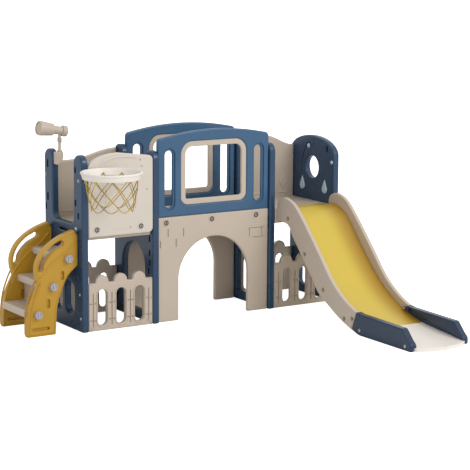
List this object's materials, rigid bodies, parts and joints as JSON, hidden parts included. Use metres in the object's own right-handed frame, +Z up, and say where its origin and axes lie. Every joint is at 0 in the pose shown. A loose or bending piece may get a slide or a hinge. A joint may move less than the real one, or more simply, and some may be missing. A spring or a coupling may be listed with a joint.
{
  "type": "kids slide play set",
  "caption": "Toddler climbing set: stairs to a hooped tower with a telescope, a bridge over a crawl tunnel, and a tower with a slide.",
  "frame": {"origin": "on the floor at the front left corner of the left end frame, by its front foot", "axes": "+X along the set from the stairs to the far tower, -Y to the front where the slide comes down, +Z up"},
  "size_m": [2.174, 1.915, 1.2277],
  "materials": {
    "blue_plastic": "satin moulded",
    "beige_plastic": "satin moulded",
    "yellow_plastic": "satin moulded",
    "chute_yellow_plastic": "smooth moulded",
    "white_plastic": "smooth moulded",
    "cap_grey_plastic": "satin moulded",
    "net_cord": "braided cord",
    "pin_steel": "satin"
  },
  "bodies": {
    "play_set": {"left_end_frame": "blue_plastic", "left_partition_frame": "blue_plastic", "right_partition_frame": "blue_plastic", "right_end_frame": "blue_plastic", "bridge_front_guard": "blue_plastic", "bridge_rear_guard": "blue_plastic", "slide_left_bumper": "blue_plastic", "slide_right_bumper": "blue_plastic", "hoop_backboard": "beige_plastic", "left_rear_guard": "beige_plastic", "right_rear_guard": "beige_plastic", "left_front_fence": "beige_plastic", "left_rear_fence": "beige_plastic", "right_front_fence": "beige_plastic", "right_rear_fence": "beige_plastic", "front_window_trim": "beige_plastic", "rear_window_trim": "beige_plastic", "bridge_front_arch": "beige_plastic", "bridge_rear_arch": "beige_plastic", "left_deck": "beige_plastic", "bridge_deck": "beige_plastic", "right_deck": "beige_plastic", "stair_step_1": "beige_plastic", "stair_step_2": "beige_plastic", "stair_step_3": "beige_plastic", "slide_left_wall": "beige_plastic", "slide_right_wall": "beige_plastic", "hoop_bracket": "beige_plastic", "telescope_base": "beige_plastic", "stair_front_side": "yellow_plastic", "stair_rear_side": "yellow_plastic", "slide_chute": "chute_yellow_plastic", "slide_run_out": "white_plastic", "hoop_ring": "white_plastic", "backboard_screw_1": "cap_grey_plastic", "backboard_screw_2": "cap_grey_plastic", "arch_screw_1": "cap_grey_plastic", "arch_screw_2": "cap_grey_plastic", "arch_screw_3": "cap_grey_plastic", "stair_cap_front_1": "cap_grey_plastic", "stair_cap_front_2": "cap_grey_plastic", "stair_cap_front_3": "cap_grey_plastic", "stair_cap_rear_1": "cap_grey_plastic", "stair_cap_rear_2": "cap_grey_plastic", "stair_cap_rear_3": "cap_grey_plastic", "hoop_net": "net_cord"},
    "telescope_fork": {"telescope_fork": "beige_plastic", "telescope_pin": "pin_steel"},
    "telescope_barrel": {"telescope_barrel": "beige_plastic", "telescope_eyepiece": "beige_plastic"}
  },
  "joints": [
    {"name": "telescope_pan", "type": "hinge", "parent": "play_set", "child": "telescope_fork", "pos_m": [0.041, 0.3637, 1.036], "axis": [0, 0, 1], "continuous": true},
    {"name": "telescope_tilt", "type": "hinge", "parent": "telescope_fork", "child": "telescope_barrel", "pos_m": [0.041, 0.3637, 1.115], "axis": [0, 1, 0], "range_deg": [-30, 40]}
  ]
}
